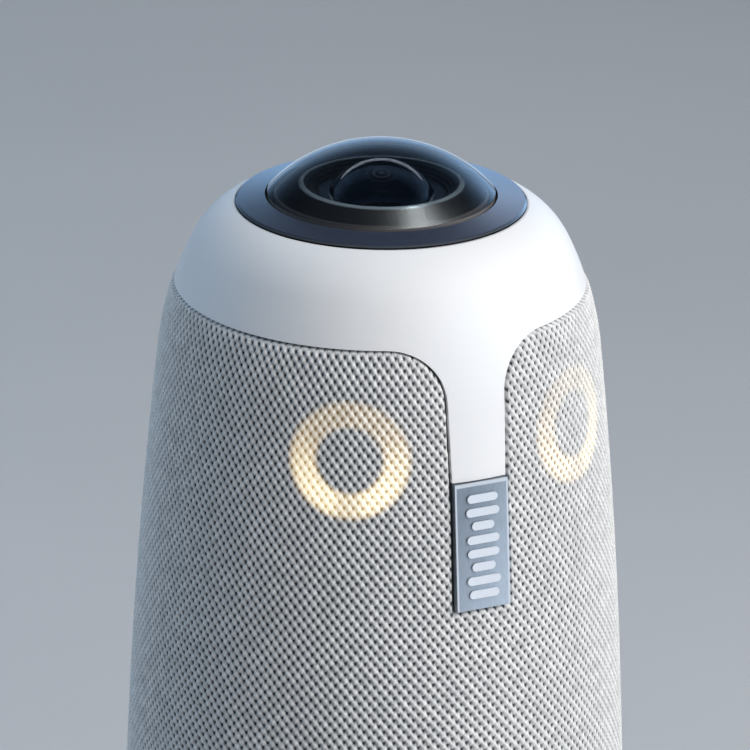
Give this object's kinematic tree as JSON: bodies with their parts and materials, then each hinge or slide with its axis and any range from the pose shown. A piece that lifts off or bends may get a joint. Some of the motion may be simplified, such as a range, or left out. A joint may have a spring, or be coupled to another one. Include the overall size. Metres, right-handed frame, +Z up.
{
  "type": "360 degree conference camera",
  "caption": "Tall tapered tabletop camera with a fisheye lens under a dome, a white cap with a front stem, a metal tag, two light rings behind knitted fabric, and keys and ports in its base.",
  "frame": {"origin": "centre of the lower face of the rubber foot, on the body's axis", "axes": "+Z up along the body's axis, -Y towards the front stem and tag, +Y towards the ports"},
  "size_m": [0.1108, 0.1108, 0.273],
  "materials": {
    "white_plastic": "satin white moulded plastic with a very fine texture",
    "knit_fabric": "light grey knitted polyester with rows of small dark openings",
    "brushed_tag": "brushed aluminium with raised pale bars",
    "dome_glass": "clear, dark tinted dome",
    "lens_glass": "coated glass",
    "fisheye_glass": "coated dark fisheye glass",
    "sensor_glass": "cover glass over the sensor",
    "shroud_gloss": "glossy black",
    "lens_black": "matte black anodised",
    "ring_satin": "satin blue-black",
    "black_plastic": "textured black",
    "grey_plastic": "matte grey",
    "key_plastic": "satin pale grey with raised symbols",
    "black_rubber": "matte black rubber",
    "cone_paper": "coated pulp cone",
    "eye_glow": "milky diffuser lit warm from behind",
    "led_lens": "yellow phosphor lens",
    "circuit_board": "green solder mask",
    "chip_plastic": "black epoxy and sleeves",
    "flex_polyimide": "amber flexible film",
    "cable_jacket": "black jacket",
    "screw_steel": "zinc plated steel",
    "socket_steel": "nickel plated steel",
    "heat_sink_aluminium": "extruded aluminium",
    "brass": "turned brass"
  },
  "bodies": {
    "root": {"rubber_foot": "black_rubber", "base_plate": "white_plastic", "tripod_insert": "brass", "base_screws": "screw_steel", "base_band": "white_plastic", "port_bezel": "black_plastic", "io_board": "circuit_board", "data_socket": "socket_steel", "power_socket": "socket_steel", "power_lead": "cable_jacket", "key_board": "circuit_board", "key_switches": "socket_steel", "speaker_box": "black_plastic", "speaker_box_lid": "black_plastic", "chassis_screws": "screw_steel", "speaker_baskets": "black_plastic", "speaker_magnets": "screw_steel", "speaker_surrounds": "black_rubber", "chassis_frame": "grey_plastic", "main_board": "circuit_board", "processor_shield": "socket_steel", "heat_sink": "heat_sink_aluminium", "board_parts": "chip_plastic", "board_screws": "screw_steel", "wifi_antennas": "flex_polyimide", "mic_board": "circuit_board", "microphones": "socket_steel", "mic_gaskets": "black_rubber", "eye_diffuser_left": "eye_glow", "eye_diffuser_right": "eye_glow", "eye_centre_masks": "black_plastic", "eye_light_boards": "circuit_board", "eye_leds": "led_lens", "grille_shell": "grey_plastic", "fabric_sleeve": "knit_fabric", "top_cap": "white_plastic", "tag_plate": "brushed_tag", "camera_ribbon": "flex_polyimide", "camera_board": "circuit_board", "image_sensor": "sensor_glass", "camera_housing": "black_plastic", "camera_screws": "screw_steel", "lens_barrel": "lens_black", "rear_lens_group": "lens_glass", "aperture_ring": "lens_black", "second_lens_element": "lens_glass", "fisheye_element": "fisheye_glass", "lens_retaining_ring": "lens_black", "lens_shroud": "shroud_gloss", "lens_dome": "dome_glass", "dome_seal": "black_rubber", "trim_ring": "ring_satin"},
    "volume_down_button": {"volume_down_key": "key_plastic"},
    "volume_up_button": {"volume_up_key": "key_plastic"},
    "mute_button": {"mute_key": "key_plastic"},
    "pair_button": {"pair_key": "key_plastic"},
    "rear_driver": {"rear_cone": "cone_paper"},
    "left_driver": {"left_cone": "cone_paper"},
    "right_driver": {"right_cone": "cone_paper"}
  },
  "joints": [
    {"name": "volume_down_press", "type": "slide", "parent": "root", "child": "volume_down_button", "axis": [0.4305, 0.9026, 0], "range_m": [0, 0.0006], "stiffness_N_per_m": 2500},
    {"name": "volume_up_press", "type": "slide", "parent": "root", "child": "volume_up_button", "axis": [0.1478, 0.989, 0], "range_m": [0, 0.0006], "stiffness_N_per_m": 2500},
    {"name": "mute_press", "type": "slide", "parent": "root", "child": "mute_button", "axis": [-0.1478, 0.989, 0], "range_m": [0, 0.0006], "stiffness_N_per_m": 2500},
    {"name": "pair_press", "type": "slide", "parent": "root", "child": "pair_button", "axis": [-0.4305, 0.9026, 0], "range_m": [0, 0.0006], "stiffness_N_per_m": 2500},
    {"name": "rear_cone_travel", "type": "slide", "parent": "root", "child": "rear_driver", "axis": [0, 1, 0], "range_m": [-0.0015, 0.0015], "stiffness_N_per_m": 1200},
    {"name": "left_cone_travel", "type": "slide", "parent": "root", "child": "left_driver", "axis": [-0.866, -0.5, 0], "range_m": [-0.0015, 0.0015], "stiffness_N_per_m": 1200},
    {"name": "right_cone_travel", "type": "slide", "parent": "root", "child": "right_driver", "axis": [0.866, -0.5, 0], "range_m": [-0.0015, 0.0015], "stiffness_N_per_m": 1200}
  ]
}
